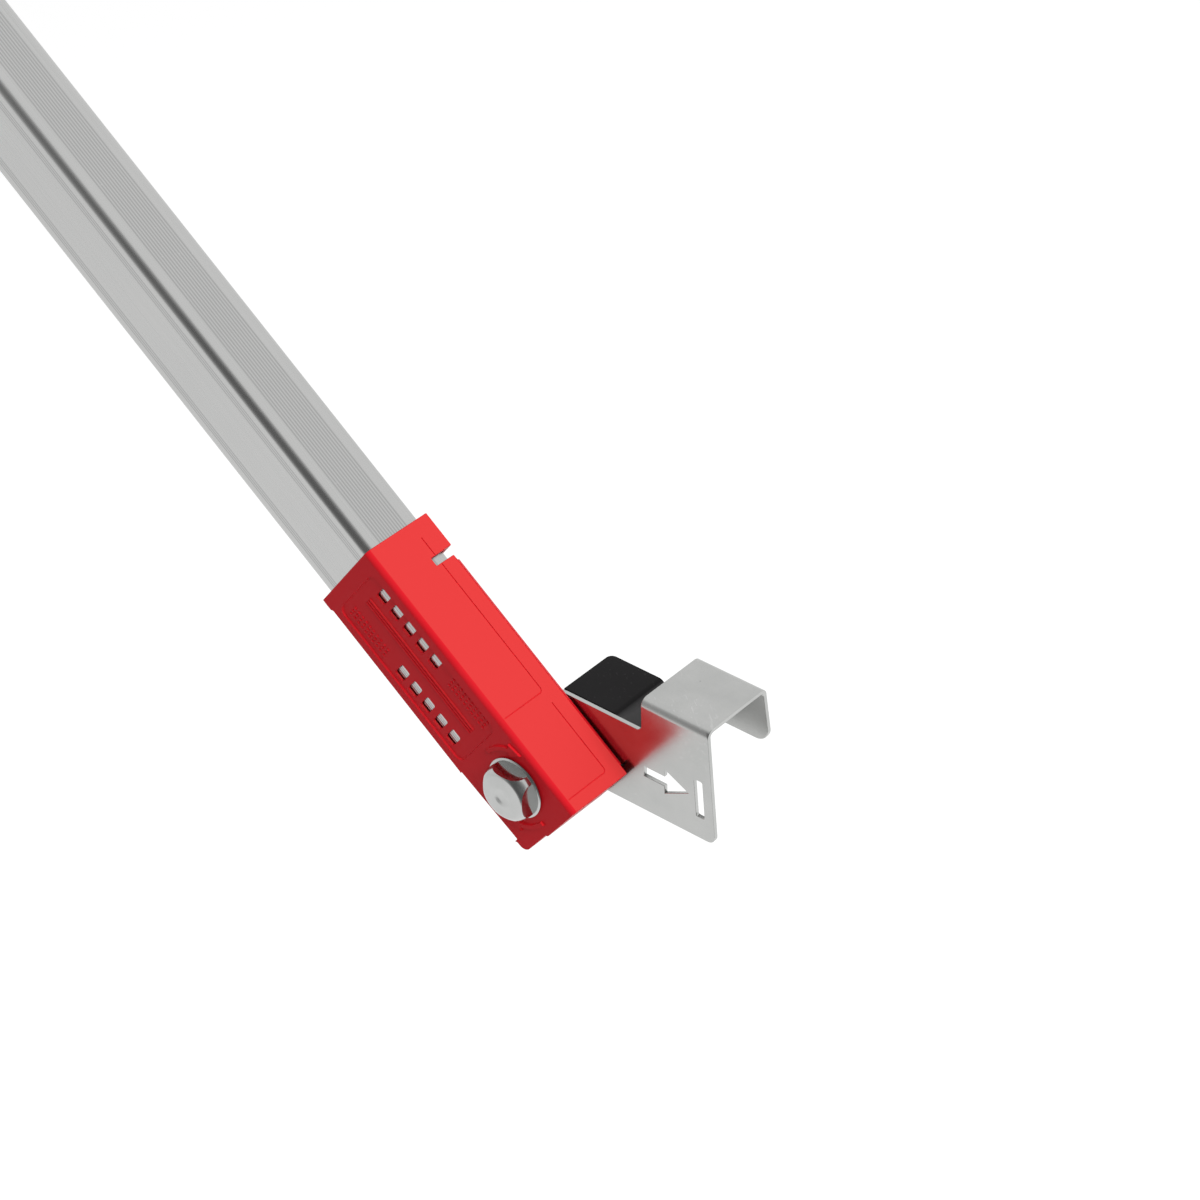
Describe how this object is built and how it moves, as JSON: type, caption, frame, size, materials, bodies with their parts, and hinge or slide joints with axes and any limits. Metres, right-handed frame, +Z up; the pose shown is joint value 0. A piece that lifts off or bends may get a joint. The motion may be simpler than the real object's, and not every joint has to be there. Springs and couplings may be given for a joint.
{
  "type": "ladder stabilizer",
  "caption": "Bracing strut for a ladder: a grooved aluminium tube with red moulded sleeves at its ends, each with a bolted, swivelling sheet-steel hook and a black nut shroud.",
  "frame": {"origin": "middle of the lower hook's seat, the underside of its bridge", "axes": "+Z up; +X along the lower hook, away from the strut, which rises towards -X; +Y along the pivot axes, from the bolt heads to the nuts"},
  "size_m": [0.5956, 0.0651, 0.4176],
  "materials": {
    "aluminium": "mill finish, finely grooved",
    "red_plastic": "satin moulded",
    "zinc_steel": "bright zinc plated",
    "black_plastic": "satin moulded",
    "white_nylon": "plain"
  },
  "bodies": {
    "lower_hook": {"lower_hook_bracket": "zinc_steel", "lower_nut_shroud": "black_plastic", "lower_pivot_bush": "white_nylon", "lower_nut_washer": "zinc_steel", "lower_lock_nut": "zinc_steel", "lower_nut_insert": "white_nylon"},
    "strut": {"arm_tube": "aluminium", "lower_sleeve": "red_plastic", "upper_sleeve": "red_plastic", "lower_spacer_bush": "zinc_steel", "upper_spacer_bush": "zinc_steel", "lower_thrust_washer": "white_nylon", "upper_thrust_washer": "white_nylon"},
    "lower_bolt": {"lower_pivot_bolt": "zinc_steel"},
    "upper_hook": {"upper_hook_bracket": "zinc_steel", "upper_nut_shroud": "black_plastic", "upper_pivot_bush": "white_nylon", "upper_nut_washer": "zinc_steel", "upper_lock_nut": "zinc_steel", "upper_nut_insert": "white_nylon"},
    "upper_bolt": {"upper_pivot_bolt": "zinc_steel"}
  },
  "joints": [
    {"name": "lower_swing", "type": "hinge", "parent": "lower_hook", "child": "strut", "pos_m": [-0.04215, -0.0432, -0.0303], "axis": [0, 1, 0], "range_deg": [-125, 50]},
    {"name": "upper_swing", "type": "hinge", "parent": "strut", "child": "upper_hook", "pos_m": [-0.52123, -0.0432, 0.33095], "axis": [0, 1, 0], "range_deg": [-50, 125]},
    {"name": "lower_bolt_turn", "type": "hinge", "parent": "lower_hook", "child": "lower_bolt", "pos_m": [-0.04215, -0.0432, -0.0303], "axis": [0, -1, 0], "range_deg": [0, 180]},
    {"name": "upper_bolt_turn", "type": "hinge", "parent": "upper_hook", "child": "upper_bolt", "pos_m": [-0.52123, -0.0432, 0.33095], "axis": [0, -1, 0], "range_deg": [0, 180]}
  ]
}
